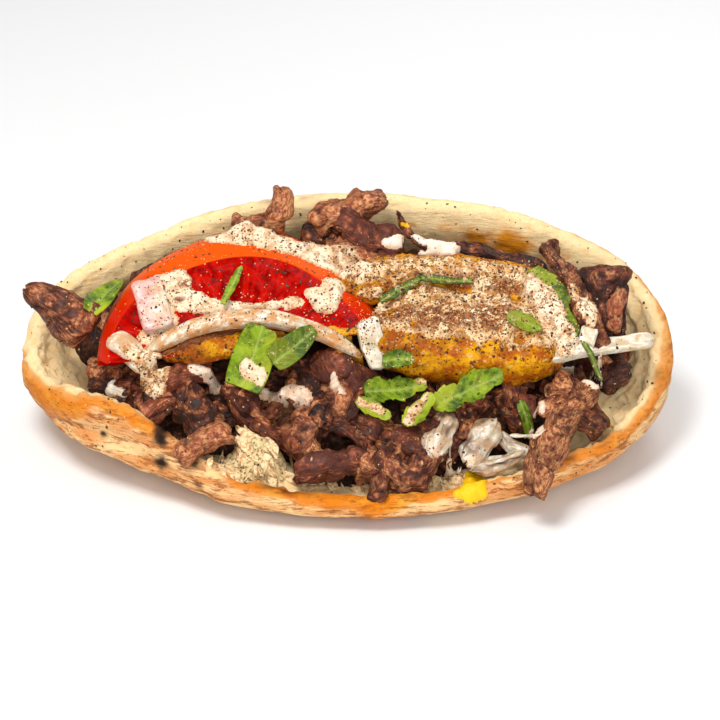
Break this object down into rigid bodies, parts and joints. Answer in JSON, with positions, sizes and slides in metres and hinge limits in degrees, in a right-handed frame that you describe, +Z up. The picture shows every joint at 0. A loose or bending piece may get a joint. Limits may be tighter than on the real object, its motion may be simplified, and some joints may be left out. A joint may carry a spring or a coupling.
{
  "type": "gyro sandwich",
  "caption": "Thick pita slit along its side and opened like a boat, filled with sliced meat, tomato, aubergine, onion and parsley under cream and yellow sauces",
  "frame": {"origin": "the middle of the flat spot under the bread, on which the sandwich rests", "axes": "+X along the sandwich, +Y from the open front lip to the closed back, +Z up"},
  "size_m": [0.1835, 0.0972, 0.0639],
  "materials": {
    "bread": "baked pita, floury golden-brown crust and cream crumb",
    "meat": "seared sliced meat, reddish brown and moist",
    "tomato": "wet tomato flesh with an orange-red skin, partly under cream sauce",
    "aubergine": "fried aubergine under yellow and cream sauces with ground spice",
    "onion": "raw onion, white and slightly translucent",
    "leaf": "fresh parsley leaf"
  },
  "bodies": {
    "root": {"pita_bread": "bread", "meat_heap": "meat", "meat_left_corner": "meat", "meat_front_left": "meat", "meat_back_base": "meat", "meat_back_knob": "meat", "meat_back_cluster": "meat", "meat_back_oval": "meat", "meat_back_strip": "meat", "meat_back_spike": "meat", "meat_rear_dark": "meat", "meat_right_strip": "meat", "meat_right_chunk": "meat", "meat_right_lobe": "meat", "meat_right_small": "meat", "meat_front_right": "meat", "tomato_slice": "tomato", "aubergine_front": "aubergine", "aubergine_rear": "aubergine", "aubergine_narrow": "aubergine", "onion_arc": "onion", "onion_quill": "onion", "onion_left": "onion", "onion_right": "onion", "onion_end": "onion", "onion_bead": "onion", "onion_red": "onion", "onion_low_left": "onion", "onion_low_middle": "onion", "onion_low_front": "onion", "onion_low_right": "onion", "leaf_far_left": "leaf", "leaf_sliver": "leaf", "leaf_arc_left": "leaf", "leaf_arc_right": "leaf", "leaf_cross_long": "leaf", "leaf_cross_high": "leaf", "leaf_cross_right": "leaf", "leaf_cross_low": "leaf", "leaf_cross_left": "leaf", "leaf_slab": "leaf", "leaf_sauced": "leaf", "leaf_top_left": "leaf", "leaf_top_right": "leaf", "leaf_low": "leaf", "leaf_right": "leaf"}
  },
  "joints": []
}
